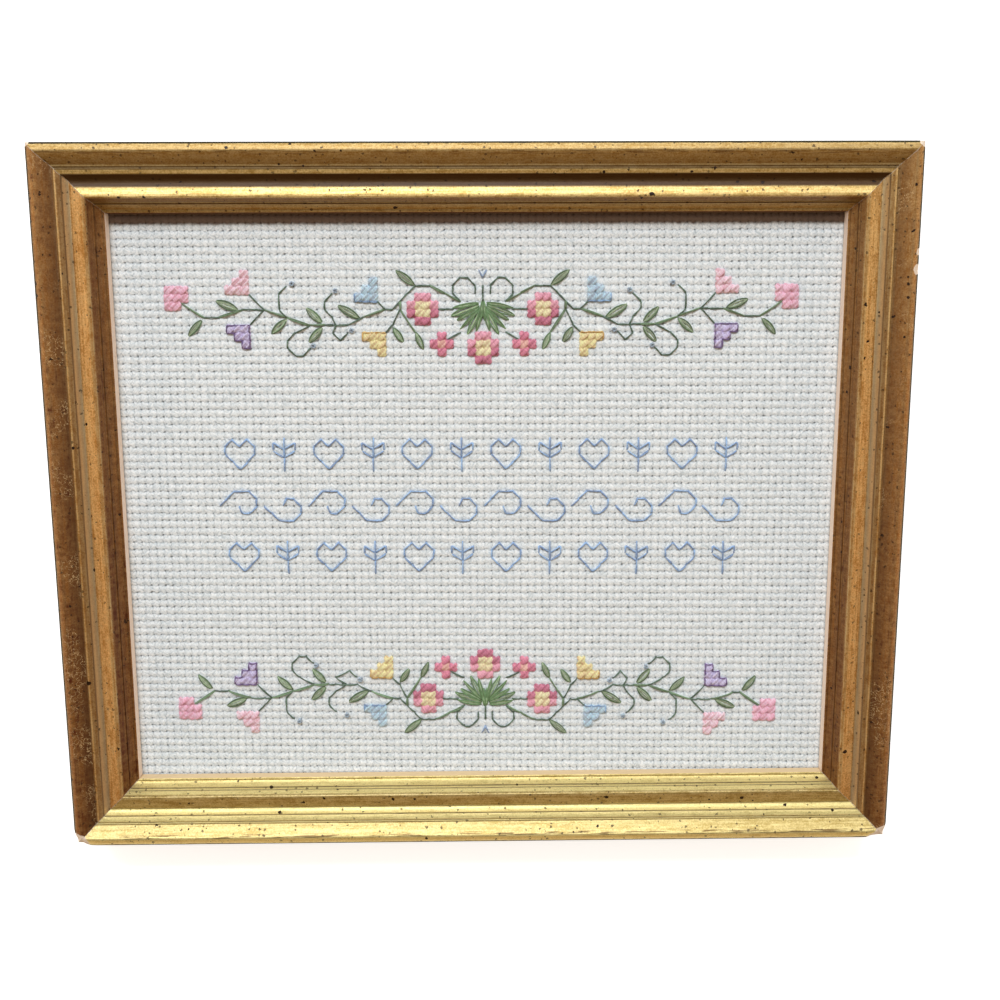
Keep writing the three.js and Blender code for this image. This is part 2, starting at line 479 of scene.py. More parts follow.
def worn_gilding():
    """Gold over red clay on gesso, with umber in the hollows, specks, scratches, chips, plain sides, and
    painted light and shade.
    """
    material, tree, shader = new_finish("worn_gilding")
    facts = ("inward", "height", "wear_and_shade", "umber_and_shade")
    inward, height, wear_and_shade, umber_and_shade = (read(tree, fact) for fact in facts)
    worn_and_shaded = between(tree, wear_and_shade, 0.5, 0.7)
    place = put(tree, "ShaderNodeTexCoord").outputs["Object"]
    streaks = grain(tree, stretched(tree, 70.0, 2100.0), 1.0, 4.0)
    blotches = grain(tree, stretched(tree, 330.0, 700.0), 1.0, 5.0, 0.7)
    fine = grain(tree, place, 2600.0, 2.0)

    # gold leaf, paler where it is whole, and thin over the clay on the slope and in the cove;
    # how whole it is from rail to rail also paints light and shade
    shade = scaled(tree, blotches, 0.9, scaled(tree, fine, 0.7, -0.8))
    shade = between(tree, scaled(tree, streaks, 0.7, plus(tree, shade, 0.15)), 0.25, 0.75)
    whole = blended(tree, shade, colour_of("B79C58"), colour_of("F0DA98"))
    warm = blended(tree, shade, colour_of("C68A46"), colour_of("FFCE88"))
    gold = blended(tree, between(tree, wear_and_shade, 0.3, 0.8), whole, warm)
    fresh_and_lit = rest(tree, between(tree, wear_and_shade, 0.05, 0.4))
    bead = band(tree, inward, 8.5, 8.8, 12.3, 12.45)
    upper_slope = band(tree, inward, 2.0, 2.6, 5.0, 5.4)
    lip = times(tree, between(tree, inward, 14.2 * MM, 14.5 * MM), 0.85)
    # the palest gold, on the bottom rail clear of its bead, lip and upper slope, is painted light
    painted_light = rest(tree, largest(tree, bead, lip, times(tree, upper_slope, 0.8)))
    painted_light = times(tree, painted_light, fresh_and_lit, scaled(tree, shade, 0.35, 0.5))
    gold = blended(tree, painted_light, gold, colour_of("FFEDA6"))
    slope = band(tree, inward, 0.2, 1.2, 5.2, 5.6)
    cove = between(tree, inward, 12.1 * MM, 12.5 * MM)
    thin = times(tree, largest(tree, slope, cove), wear_and_shade)
    cracks = grain(tree, stretched(tree, 900.0, 420.0), 1.0, 4.0, 0.7)
    torn = between(tree, scaled(tree, cracks, 0.7, times(tree, streaks, 0.7)), 0.5, 0.9)
    clay = times(tree, thin, scaled(tree, torn, 0.4, 0.55))
    # redder clay on the bottom rail's bead is painted shade, as the bead turns from the light; its upper
    # slope takes a little too
    redder = scaled(tree, upper_slope, 0.1, times(tree, bead, 0.22))
    clay = plus(tree, clay, times(tree, redder, fresh_and_lit))
    # clay under the top rail's bead, on the wall that turns from the light, is painted shade
    under_bead = band(tree, inward, 12.1, 12.3, 12.8, 13.0)
    clay = plus(tree, clay, times(tree, under_bead, umber_and_shade, 0.3))
    patches = between(tree, blotches, 0.5, 0.75)
    clay = plus(tree, clay, times(tree, patches, scaled(tree, wear_and_shade, 0.3, 0.1)))
    gold = blended(tree, clay, gold, colour_of("5F280A"))
    valley = times(tree, band(tree, inward, 7.0, 7.1, 8.35, 8.5), between(tree, wear_and_shade, 0.4, 0.7))
    gold = blended(tree, times(tree, valley, 0.7), gold, colour_of("B2A283"))
    # pale lines along three ridges are painted highlights
    ridge_highlight = times(tree, band(tree, inward, 5.66, 5.72, 5.8, 5.88), rest(tree, umber_and_shade))
    ridge_highlight = plus(tree, ridge_highlight, band(tree, inward, 6.84, 6.9, 6.98, 7.04))
    ridge_highlight = plus(tree, ridge_highlight, band(tree, inward, 12.05, 12.12, 12.22, 12.3))
    gold = blended(tree, times(tree, ridge_highlight, times(tree, shade, 0.6)), gold, colour_of("F3DCA4"))

    # umber that stays in the hollows, the fine lines and at the slope's foot, and in dashes along the crest.
    # Over the side rails' slopes, brinks, fillets and shoulders, and in the top rail's inner hollow and foot
    # line, it is also painted shade
    ragged = scaled(tree, blotches, 0.6, -0.3)
    hollow = between(tree, plus(tree, read(tree, "hollow"), ragged), 0.3, 1.3)
    hollow = times(tree, hollow, scaled(tree, cove, -0.4, 0.5), scaled(tree, umber_and_shade, 0.7, 0.3))
    foot = times(tree, band(tree, inward, 0.4, 5.0, 5.4, 5.6), times(tree, wear_and_shade, 0.85))
    brink = times(tree, band(tree, inward, -0.1, 0.1, 0.6, 1.2), worn_and_shaded)
    foot = largest(tree, foot, times(tree, brink, 0.6))
    inner = times(tree, band(tree, inward, 6.7, 7.1, 9.5, 10.2), between(tree, umber_and_shade, 0.4, 1.1))
    fillet = times(tree, band(tree, inward, 5.8, 6.2, 7.1, 7.4), worn_and_shaded, 0.7)
    shoulder = times(tree, band(tree, inward, 11.1, 11.9, 15.1, 15.2), worn_and_shaded, 0.45)
    foot_line = times(tree, band(tree, inward, 5.1, 5.3, 5.95, 6.15), times(tree, umber_and_shade, 0.8))
    umber = largest(tree, hollow, foot, inner, fillet, shoulder, foot_line)
    for first, last in UMBER_LINES:
        line = band(tree, inward, first - 0.04, first, last, last + 0.06)
        umber = largest(tree, umber, times(tree, line, scaled(tree, blotches, 1.0, 0.15)))
    toned = blended(tree, umber, gold, colour_of("402208"))
    dashes = between(tree, grain(tree, stretched(tree, 150.0, 2600.0), 1.0, 3.0), 0.52, 0.57)
    dashes = times(tree, dashes, band(tree, inward, 1.9, 2.1, 2.7, 3.1))
    dashes = times(tree, dashes, rest(tree, between(tree, wear_and_shade, 0.3, 0.8)))
    toned = blended(tree, times(tree, dashes, 0.75), toned, colour_of("5A3A1C"))
    pits = between(tree, grain(tree, place, 1500.0, 3.0, 0.7), 0.62, 0.7)
    toned = blended(tree, times(tree, pits, 0.4), toned, colour_of("5A3A1C"))
    curls = grain(tree, place, 800.0, 2.0)
    curls = sums(tree, "LESS_THAN", sums(tree, "ABSOLUTE", minus(tree, curls, 0.5)), 0.012)
    scuffed = times(tree, between(tree, grain(tree, place, 90.0, 1.0), 0.5, 0.6), slope)
    scuffs = times(tree, curls, scuffed, between(tree, wear_and_shade, 0.5, 0.6), 0.5)
    toned = blended(tree, scuffs, toned, colour_of("EACB98"))

    coarse = specks(tree, place, 350.0, 0.26, 0.17)
    dust = specks(tree, place, 760.0, 0.5, 0.25)
    speck = largest(tree, coarse, times(tree, dust, 0.7))
    toned = blended(tree, speck, toned, colour_of("2A1606"))

    # gesso, bare where the gilding is knocked off and rubbed thin along the mitres
    rub = sums(tree, "LESS_THAN", read(tree, "to_mitre"), scaled(tree, blotches, 0.0006, -0.0002))
    rub = times(tree, rub, sums(tree, "GREATER_THAN", inward, 0.5 * MM))
    broken = plus(tree, read(tree, "chip"), scaled(tree, blotches, 0.5, -0.25))
    bare_gesso = largest(tree, between(tree, broken, 0.32, 0.38), times(tree, rub, 0.45))
    gesso = blended(tree, fine, colour_of("C9AE93"), colour_of("F6E9DA"))
    face = blended(tree, bare_gesso, toned, gesso)

    # dark paint on the outer sides, and where it reaches onto the crest's rounding also a painted dark
    # reflection;
    # gesso at the sight edge, and bare wood behind
    edge = scaled(tree, blotches, 0.0004, 0.0003)
    side = times(tree, sums(tree, "LESS_THAN", inward, edge), rest(tree, bare_gesso))
    face = blended(tree, side, face, colour_of("39321F"))
    # the sight edge is pale gesso, which also stands for a painted reflection of the white cloth; it is
    # paler on the bottom rail as painted light, and brown on the top rail as painted shade
    sight = sums(tree, "GREATER_THAN", inward, (RAIL_WIDTH - 0.06) * MM)
    sight_edge = blended(tree, fresh_and_lit, colour_of("F0DED0"), colour_of("E0C59C"))
    sight_edge = blended(tree, between(tree, umber_and_shade, 0.4, 1.0), sight_edge, colour_of("6A4526"))
    face = blended(tree, sight, face, sight_edge)
    low_down = sums(tree, "LESS_THAN", height, (LIP_UNDERSIDE + 0.02) * MM)
    in_rebate = times(tree, low_down, sums(tree, "GREATER_THAN", inward, (REBATE_WALL - 0.05) * MM))
    behind = largest(tree, sums(tree, "LESS_THAN", height, 0.02 * MM), in_rebate)
    fibres = grain(tree, stretched(tree, 30.0, 1000.0), 1.0, 5.0)
    wood = blended(tree, fibres, colour_of("A97F52"), colour_of("D9B98A"))
    join(tree, shader, {"Base Color": blended(tree, behind, face, wood)})

    plain = largest(tree, side, sight, behind, bare_gesso)
    covered = rest(tree, largest(tree, speck, umber))
    leaf = times(tree, rest(tree, plain), covered, scaled(tree, clay, -0.3, 0.75))
    dull = scaled(tree, blotches, 0.2, 0.38)
    dull = largest(tree, dull, times(tree, plain, 0.85))
    join(tree, shader, {"Metallic": leaf, "Roughness": dull, "Specular IOR Level": 0.2})
    join(tree, shader, {"Coat Weight": 0.06, "Coat Roughness": 0.3})

    relief = plus(tree, times(tree, streaks, 0.3), times(tree, blotches, 0.9))
    relief = scaled(tree, fine, 0.5, scaled(tree, speck, -0.4, relief))
    raised(tree, shader, relief, 0.6, 0.14)
    return material


# Knocks on the gilding, each with its place on the sign and its reach, in millimetres.
KNOCKS = [
    (-102.6, 85.4, 1),
    (102.4, 85.2, 1.2),
    (-102.2, -85.2, 3.4),
    (102, -85, 3),
    (99.6, -85.6, 1.8),
    (102.5, 60.5, 0.9),
    (102.2, 56.5, 1.2),
]


def knocked(mesh):
    """Rounds off the gesso round each knock, and marks how near each point lies to one."""
    count = len(mesh.vertices)
    places = np.empty(count * 3)
    mesh.vertices.foreach_get("co", places)
    places = places.reshape(-1, 3)
    chip = np.zeros(count)
    for x, y, reach in KNOCKS:
        away = np.linalg.norm(places - np.array((x, y, CREST - 0.6)) * MM, axis=1)
        near = np.clip(1.3 - away / (reach * MM), 0, 1)
        chip = np.maximum(chip, near)
        towards_middle = -np.array((np.sign(x), np.sign(y), 1.2))
        places += near[:, None] ** 2 * towards_middle * (0.16 * reach * MM)
    mesh.vertices.foreach_set("co", places.ravel())
    mark(mesh, "chip", chip)


gilding = worn_gilding()
sweep = mitred_length_tree()
GRAIN_APART = 7.3  # how far apart in the noise the four rails are read
# Each rail's quarter turns from the top one, how far its gold is rubbed through at its two ends,
# and how much umber its inner hollows hold. Both also paint light and shade: the little-worn bottom rail
# keeps pale gold as painted light, and the redder side rails and the top rail's dark hollows are painted
# shade.
RAILS = {
    "rail_top": (0, 0.48, 0.48, 1.0),
    "rail_left": (1, 0.74, 1.0, 0.3),
    "rail_bottom": (2, 0.04, 0.04, 0.0),
    "rail_right": (3, 0.94, 0.62, 0.2),
}
for node, (turns, first_wear_and_shade, last_wear_and_shade, hollow_umber_and_shade) in RAILS.items():
    half_length, half_across = (HALF_WIDTH, HALF_HEIGHT) if turns % 2 == 0 else (HALF_HEIGHT, HALF_WIDTH)
    mesh = shaped(
        sweep,
        section_mesh(),
        length=2 * half_length * MM,
        setback=0.04 * MM,
        stations=150,
        unevenness=0.12 * MM,
        material=gilding,
    )
    count = len(mesh.vertices)
    along = np.empty(count)
    mesh.attributes["along"].data.foreach_get("value", along)
    way = (along / (half_length * MM) + 1) / 2
    mark(mesh, "wear_and_shade", last_wear_and_shade + (first_wear_and_shade - last_wear_and_shade) * way)
    mark(mesh, "umber_and_shade", np.full(count, hollow_umber_and_shade))
    mark(mesh, "rail", np.full(count, turns * GRAIN_APART))
    to_side = Matrix.Rotation(turns * math.pi / 2, 4, "Z")
    mesh.transform(to_side @ Matrix.Translation((0, half_across * MM, 0)))
    knocked(mesh)
    mesh.set_sharp_from_angle(angle=math.radians(50))
    rail = solid_piece("gilt_" + node, mesh)
    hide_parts(node)
    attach(rail, "root")

# The cloth. White cotton woven in square blocks with a hole at each corner, which the stitches count.
# It is stretched flat over the board, and its margin lies under the frame's lip.
cloth_low, cloth_high = (np.array(corner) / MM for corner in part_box("cloth"))
SQUARE = (1.8143, 1.856)  # one block of the weave, across and down
GARLAND_AXIS = 0.98  # a line of holes runs here, and the garlands are centred on it
FIRST_ROW = -0.6  # a row of holes that the garlands' rows are counted from
COLUMNS_A_BLOCK = 3
COLUMN_SINK, ROW_SINK, HOLE_SINK = 0.16, 0.18, 0.15  # how deep the weave dips between blocks and at holes
ASKEW = 0.0118  # how steeply the lowest rows climb to the left
LEVEL_FROM, LEVEL_TO = 47.7, -50.7  # rows above the first are level, and below the second wholly askew
MARGIN = 5.2  # the cloth's edge under the lip


def pulled(across, up):
    """How far the pull of the cloth moves a point up, from its place in millimetres."""
    share = min(1.2, max(0, (LEVEL_FROM - up) / (LEVEL_FROM - LEVEL_TO)))
    return -ASKEW * across * share


def block_weave_tree():
    """Raises the blocks of the weave out of a flat grid, three points to a block each way."""
    vectors = ("Low", "High", "Block", "Hole", "First")
    others = [("Columns", "Int"), ("Rows", "Int"), ("Material", "Material")]
    tree, given = new_shape_tree("block_weave", [(name, "Vector") for name in vectors] + others)
    parts = {name: split(tree, given[name]) for name in vectors}
    sockets = {"Vertices X": given["Columns"], "Vertices Y": given["Rows"], "Size X": 1.0, "Size Y": 1.0}
    grid = put(tree, "GeometryNodeMeshGrid", sockets)
    at = split(tree, put(tree, "GeometryNodeInputPosition").outputs[0])
    places, humps, phases = [], [], []
    for axis, count in ((0, "Columns"), (1, "Rows")):
        number = sums(tree, "ROUND", times(tree, plus(tree, at[axis], 0.5), minus(tree, given[count], 1.0)))
        block = parts["Block"][axis]
        step = sums(tree, "DIVIDE", block, float(COLUMNS_A_BLOCK))
        even = scaled(tree, number, step, parts["First"][axis])
        phase = sums(tree, "DIVIDE", minus(tree, even, parts["Hole"][axis]), block)
        phases.append(phase)
        turn = sums(tree, "SINE", times(tree, phase, 2 * math.pi))
        warped = minus(tree, even, times(tree, turn, times(tree, block, 0.06)))
        places.append(sums(tree, "MINIMUM", largest(tree, warped, parts["Low"][axis]), parts["High"][axis]))
        from_line = minus(tree, sums(tree, "FRACT", plus(tree, phase, 0.5)), 0.5)
        humps.append(sums(tree, "GREATER_THAN", sums(tree, "ABSOLUTE", from_line), 0.15))
    across, down = humps
    both = times(tree, rest(tree, across), rest(tree, down))
    sink = times(tree, rest(tree, across), COLUMN_SINK * MM)
    sink = plus(tree, sink, times(tree, rest(tree, down), ROW_SINK * MM))
    sink = plus(tree, sink, times(tree, both, HOLE_SINK * MM))
    share = sums(tree, "DIVIDE", minus(tree, LEVEL_FROM * MM, places[1]), (LEVEL_FROM - LEVEL_TO) * MM)
    share = sums(tree, "MINIMUM", largest(tree, share, 0.0), 1.2)
    for axis in (0, 1):
        to_edge = minus(tree, parts["High"][axis], sums(tree, "ABSOLUTE", places[axis]))
        share = times(tree, share, sums(tree, "MINIMUM", sums(tree, "DIVIDE", to_edge, MARGIN * MM), 1.0))
    pull = times(tree, times(tree, places[0], -ASKEW), share)
    wave = times(tree, sums(tree, "SINE", times(tree, phases[0], 2 * math.pi)), 0.07 * MM)
    places[1] = plus(tree, plus(tree, places[1], pull), wave)
    flat = vector(tree, places[0], places[1], 0.0)
    wander = put(tree, "ShaderNodeTexNoise", {"Vector": flat, "Scale": 900.0, "Detail": 1.0}).outputs[0]
    swell = times(tree, minus(tree, wander, 0.5), 0.2 * MM)
    top = plus(tree, minus(tree, parts["High"][2], sink), swell)
    place = vector(tree, places[0], places[1], top)
    woven = keep(tree, keep(tree, grid.outputs[0], "weave_x", phases[0]), "weave_y", phases[1])
    woven = put(tree, "GeometryNodeSetPosition", {"Geometry": woven, "Position": place})
    close_shape_tree(tree, woven.outputs[0], given["Material"])
    return tree


def backed(mesh, level):
    """Turns down the sheet's edge and closes its underside, so that it has its thickness."""
    shape = bmesh.new()
    shape.from_mesh(mesh)
    rim = [edge for edge in shape.edges if edge.is_boundary]
    turned = bmesh.ops.extrude_edge_only(shape, edges=rim)["geom"]
    for vertex in (item for item in turned if isinstance(item, bmesh.types.BMVert)):
        vertex.co.z = level
    loose = [edge for edge in shape.edges if edge.is_boundary]
    bmesh.ops.edgeloop_fill(shape, edges=loose)
    bmesh.ops.recalc_face_normals(shape, faces=shape.faces)
    shape.to_mesh(mesh)
    shape.free()


# Up the cloth, where the painted shadow under the top rail starts and where it is full
SHADOW_FROM, SHADOW_FULL = 67.7, 68.7  # up the cloth; its opening ends at 70.2


def from_hole(tree, name):
    """How far a point lies from the nearest line of holes, in blocks, from -0.5 to 0.5."""
    return minus(tree, sums(tree, "FRACT", plus(tree, read(tree, name), 0.5)), 0.5)


def white_cotton():
    """Bleached cotton: dark holes at the blocks' corners, uneven furrows between them, loose threads, and a
    painted shadow under the top rail.
    """
    material, tree, shader = new_finish("white_cotton")
    place = put(tree, "ShaderNodeTexCoord").outputs["Object"]
    drift = put(tree, "ShaderNodeTexNoise", {"Vector": place, "Scale": 700.0, "Detail": 2.0})
    drift = split(tree, drift.outputs["Color"])
    near_x = scaled(tree, from_hole(tree, "weave_y"), 0.3, from_hole(tree, "weave_x"))
    near_x = plus(tree, near_x, scaled(tree, drift[0], 0.4, -0.2))
    near_y = scaled(tree, from_hole(tree, "weave_x"), -0.16, from_hole(tree, "weave_y"))
    near_y = plus(tree, near_y, scaled(tree, drift[1], 0.4, -0.2))

    # each hole has its own size, and each block its own shade
    nearest = [sums(tree, "ROUND", read(tree, name)) for name in ("weave_x", "weave_y")]
    corner = vector(tree, *nearest, 0.0)
    size = put(tree, "ShaderNodeTexWhiteNoise", {"Vector": corner}).outputs["Value"]
    size = scaled(tree, size, 0.8, 0.55)
    within = [sums(tree, "FLOOR", read(tree, name)) for name in ("weave_x", "weave_y")]
    square = vector(tree, *within, 3.0)
    shade = put(tree, "ShaderNodeTexWhiteNoise", {"Vector": square}).outputs["Value"]

    out_x = sums(tree, "POWER", sums(tree, "DIVIDE", near_x, 0.15), 2.0)
    out_y = sums(tree, "POWER", sums(tree, "DIVIDE", near_y, 0.13), 2.0)
    out = sums(tree, "DIVIDE", sums(tree, "SQRT", plus(tree, out_x, out_y)), size)
    hole = rest(tree, between(tree, out, 0.3, 1.3))
    patchy = between(tree, drift[2], 0.3, 0.7)
    row_furrow = rest(tree, between(tree, sums(tree, "ABSOLUTE", near_y), 0.0, 0.24))
    row_furrow = times(tree, row_furrow, scaled(tree, patchy, 0.5, 0.35))
    column_furrow = rest(tree, between(tree, sums(tree, "ABSOLUTE", near_x), 0.0, 0.2))
    column_furrow = times(tree, column_furrow, scaled(tree, patchy, -0.4, 0.65))
    furrow = largest(tree, row_furrow, column_furrow)

    # threads lie a little slantwise, now this way and now that
    slub = grain(tree, place, 2200.0, 3.0, 0.65)
    lie_down = put(tree, "ShaderNodeVectorRotate", {"Vector": place, "Angle": 0.5}, rotation_type="Z_AXIS")
    lie_up = put(tree, "ShaderNodeVectorRotate", {"Vector": place, "Angle": -0.9}, rotation_type="Z_AXIS")
    strokes = []
    for turned in (lie_down, lie_up):
        sockets = {0: turned.outputs[0], 1: (700.0, 2600.0, 1.0)}
        drawn_out = put(tree, "ShaderNodeVectorMath", sockets, operation="MULTIPLY").outputs[0]
        strokes.append(grain(tree, drawn_out, 1.0, 2.0))
    sockets = {0: between(tree, drift[0], 0.4, 0.6), 2: strokes[0], 3: strokes[1]}
    stroke = put(tree, "ShaderNodeMix", sockets).outputs[0]
    lightness = scaled(tree, shade, 0.06, scaled(tree, slub, 0.4, -0.2))
    lightness = between(tree, plus(tree, stroke, lightness), 0.25, 0.75)
    white = blended(tree, lightness, colour_of("CCD4D8"), colour_of("FCFEFF"))
    # the furrows and holes are painted darker: painted shade between the blocks, and in the holes painted
    # shade together with the darker board behind them
    white = blended(tree, times(tree, furrow, 0.6), white, colour_of("90969A"))
    white = blended(tree, times(tree, hole, 0.8), white, colour_of("565B5E"))

    # a painted shadow, brown, on the cloth under the top rail
    up = split(tree, place)[1]
    painted_shadow = between(tree, scaled(tree, drift[2], 0.001, up), SHADOW_FROM * MM, SHADOW_FULL * MM)
    white = blended(tree, times(tree, painted_shadow, 0.9), white, colour_of("745A4A"))
    join(tree, shader, {"Base Color": white, "Roughness": 0.85})
    join(tree, shader, {"Specular IOR Level": 0.25, "Sheen Weight": 0.15})
    relief = plus(tree, times(tree, stroke, 1.1), times(tree, slub, 0.5))
    relief = minus(tree, relief, plus(tree, hole, times(tree, furrow, 0.7)))
    raised(tree, shader, relief, 0.75, 0.18)
    return material


counts, firsts = [], []
for axis, hole in ((0, GARLAND_AXIS), (1, FIRST_ROW)):
    step = SQUARE[axis] / COLUMNS_A_BLOCK
    before = math.ceil((hole - cloth_low[axis]) / step)
    after = math.ceil((cloth_high[axis] - hole) / step)
    counts.append(before + after + 1)
    firsts.append(hole - before * step)
cloth_mesh = shaped(
    block_weave_tree(),
    bpy.data.meshes.new("loom"),
    low=cloth_low * MM,
    high=cloth_high * MM,
    block=Vector((*SQUARE, 0)) * MM,
    hole=Vector((GARLAND_AXIS, FIRST_ROW, 0)) * MM,
    columns=counts[0],
    rows=counts[1],
    first=Vector((*firsts, 0)) * MM,
    material=white_cotton(),
)
backed(cloth_mesh, cloth_low[2] * MM)
cloth = solid_piece("white_cloth", cloth_mesh)
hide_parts("cloth")
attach(cloth, "root")

# The stitching. Two or three strands of cotton floss go up and down through the holes of the weave.
# Filled squares are crosses, stems are back stitches, and a leaf is a few long stitches side by side.
STRAND_RADIUS = 0.27
WORK_SEED = 41
LIFT_LOW, LIFT_HIGH = 0.22, 0.42  # heights of the first and the second leg of a cross over the cloth
draw = np.random.default_rng(WORK_SEED)


def laid_floss_tree():
    """Lays strands along a mesh's edges, one a stitch. Each arches out of one hole and into the next."""
    tree, given = new_shape_tree(
        "laid_floss",
        [
            ("Strands", "Int"),
            ("Spread", "Float"),
            ("Twist", "Float"),
            ("Radius", "Float"),
            ("Dip", "Float"),
            ("Material", "Material"),
        ],
    )
    stitch = put(tree, "GeometryNodeMeshToCurve", {"Mesh": given["Geometry"]})
    stitch = put(tree, "GeometryNodeResampleCurve", {"Curve": stitch.outputs[0], "Count": 9})
    share = put(tree, "GeometryNodeSplineParameter").outputs["Factor"]
    marked = keep(tree, stitch.outputs[0], "share", share)
    sockets = {"Geometry": marked, "Amount": given["Strands"]}
    strands = put(tree, "GeometryNodeDuplicateElements", sockets, domain="SPLINE")
    number = strands.outputs["Duplicate Index"]
    share = kept(tree, "share")
    swing = sums(tree, "ABSOLUTE", scaled(tree, share, 2.0, -1.0))
    arch = rest(tree, sums(tree, "POWER", swing, 4.0))
    middle = rest(tree, sums(tree, "POWER", swing, 2.0))
    side = minus(tree, number, times(tree, minus(tree, given["Strands"], 1.0), 0.5))
    turn = plus(tree, times(tree, share, given["Twist"]), scaled(tree, kept(tree, "tone"), 1.6, -0.8))
    apart = times(tree, times(tree, side, given["Spread"]), scaled(tree, arch, 0.6, 0.4))
    bowed = times(tree, kept(tree, "bend"), middle)
    sideways = plus(tree, times(tree, apart, sums(tree, "COSINE", turn)), bowed)
    climb = plus(tree, kept(tree, "rise"), given["Dip"])
    height = plus(tree, times(tree, arch, climb), times(tree, given["Dip"], -1.0))
    height = plus(tree, height, times(tree, times(tree, apart, sums(tree, "SINE", turn)), 0.6))
    run = split(tree, put(tree, "GeometryNodeInputTangent").outputs[0])
    offset = vector(tree, times(tree, run[1], -1.0, sideways), times(tree, run[0], sideways), height)
    sockets = {"Geometry": strands.outputs[0], "Offset": offset}
    laid = put(tree, "GeometryNodeSetPosition", sockets)
    laid = keep(tree, laid.outputs[0], "strand", scaled(tree, number, 0.37, kept(tree, "tone")))
    sockets = {"Resolution": 6, "Radius": given["Radius"]}
    ring = put(tree, "GeometryNodeCurvePrimitiveCircle", sockets, mode="RADIUS")
    way_round = put(tree, "GeometryNodeSplineParameter").outputs["Factor"]
    around = keep(tree, ring.outputs[0], "around", way_round)
    floss = put(tree, "GeometryNodeCurveToMesh", {"Curve": laid, "Profile Curve": around, "Fill Caps": True})
    close_shape_tree(tree, floss.outputs[0], given["Material"])
    return tree


def cotton_floss(name, code):
    """Mercerised cotton of one colour: soft gloss, fine plies that turn round a strand, and uneven dye."""
    material, tree, shader = new_finish(name)
    place = put(tree, "ShaderNodeTexCoord").outputs["Object"]
    red, green, blue, _ = colour_of(code)
    light = tuple(min(1, part * 1.25 + 0.04) for part in (red, green, blue)) + (1,)
    dark = (red * 0.72, green * 0.6, blue * 0.64, 1)
    winding = times(tree, read(tree, "share"), 26.0)
    ply = sums(tree, "SINE", scaled(tree, read(tree, "around"), 4 * math.pi, winding))
    hair = grain(tree, place, 3800.0, 2.0)
    mixed = plus(tree, times(tree, sums(tree, "FRACT", read(tree, "strand")), 0.45), times(tree, hair, 0.4))
    mixed = plus(tree, mixed, times(tree, ply, 0.12))
    dyed = blended(tree, between(tree, mixed, 0.05, 0.85), dark, light)
    join(tree, shader, {"Base Color": dyed, "Roughness": 0.55, "Specular IOR Level": 0.4})
    join(tree, shader, {"Sheen Weight": 0.25, "Sheen Roughness": 0.4})
    relief = plus(tree, times(tree, ply, 0.5), times(tree, hair, 0.6))
    raised(tree, shader, relief, 0.4, 0.08)
    return material


laid_floss = laid_floss_tree()


def sew(name, code, stitches, strands=2, spread=0.66, twist=0.0, radius=STRAND_RADIUS, dip=0.3):
    """A piece of floss from a list of stitches: start, end, height over the cloth and bend, in mm."""
    mesh = bpy.data.meshes.new(name)
    ends, facts = [], {"rise": [], "bend": [], "tone": []}
    for start, end, rise, bend in stitches:
        tone = draw.random()
        for x, y in (start, end):
            slip = draw.normal(0, 0.05, 2)
            ends.append(((x + slip[0]) * MM, (y + pulled(x, y) + slip[1]) * MM, CLOTH_FACE * MM))
            facts["rise"].append(rise * MM)
            facts["bend"].append(bend * MM)
            facts["tone"].append(tone)
    mesh.from_pydata(ends, [(i, i + 1) for i in range(0, len(ends), 2)], [])
    for fact, values in facts.items():
        mark(mesh, fact, values)
    floss = shaped(
        laid_floss,
        mesh,
        strands=strands,
        spread=spread * MM,
        twist=twist,
        radius=radius * MM,
        dip=dip * MM,
        material=cotton_floss(name + "_floss", code),
    )
    piece = solid_piece(name, floss)
    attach(piece, "root")


# The garlands. One is worked near the top of the cloth and its mirror image near the foot. Each half mirrors
# the other. The chart counts squares outwards from the middle and up from the holes that the vine follows.
TOP_ROW, FOOT_ROW = 26, -27
HALVES = [(row, turn, side) for row, turn in ((TOP_ROW, 1), (FOOT_ROW, -1)) for side in (1, -1)]
# Miscounts in the lower garland: beyond so many squares, the left half runs a square wide, and the right
# a square short.
MISCOUNTS = {(FOOT_ROW, -1): (20, 1), (FOOT_ROW, 1): (37, -1)}


def hole(across, up, row, turn):
    """Where a point of the chart falls on the cloth, in millimetres."""
    return GARLAND_AXIS + across * SQUARE[0], FIRST_ROW + (row + turn * up) * SQUARE[1]


def counted(across, row, side):
    """The count outwards that was worked in this half of a garland, where the chart says across."""
    beyond, slip = MISCOUNTS.get((row, side), (0, 0))
    return (across + slip if across >= beyond else across) * side


CROSS_REACH = 0.9  # how near to the holes' middles the legs of a cross come up
CROSS_STITCH = {"strands": 3, "spread": 0.5, "radius": 0.26}


def crosses(squares):
    """Stitches that fill squares of the chart, each given by its corner nearest the middle and lowest."""
    stitches = []
    for row, turn, side in HALVES:
        for across, up in squares:
            near = counted(across, row, side)
            near, far = sorted((near, near + side))
            low_up, high_up = sorted((turn * up, turn * (up + 1)))
            ends = ((near, high_up), (far, low_up), (near, low_up), (far, high_up))
            middle = (near + far) / 2, (low_up + high_up) / 2
            inset = [[m + (e - m) * CROSS_REACH for m, e in zip(middle, end)] for end in ends]
            corner = [hole(a, b, row, 1) for a, b in inset]
            stitches.append((corner[0], corner[1], LIFT_LOW, 0))
            stitches.append((corner[2], corner[3], LIFT_HIGH, 0))
    return stitches


def lines(paths, rise=0.24):
    """Back stitches along paths of the chart."""
    stitches = []
    for row, turn, side in HALVES:
        for path in paths:
            points = [hole(counted(across, row, side), up, row, turn) for across, up in path]
            stitches += [(start, end, rise, 0) for start, end in zip(points, points[1:])]
    return stitches


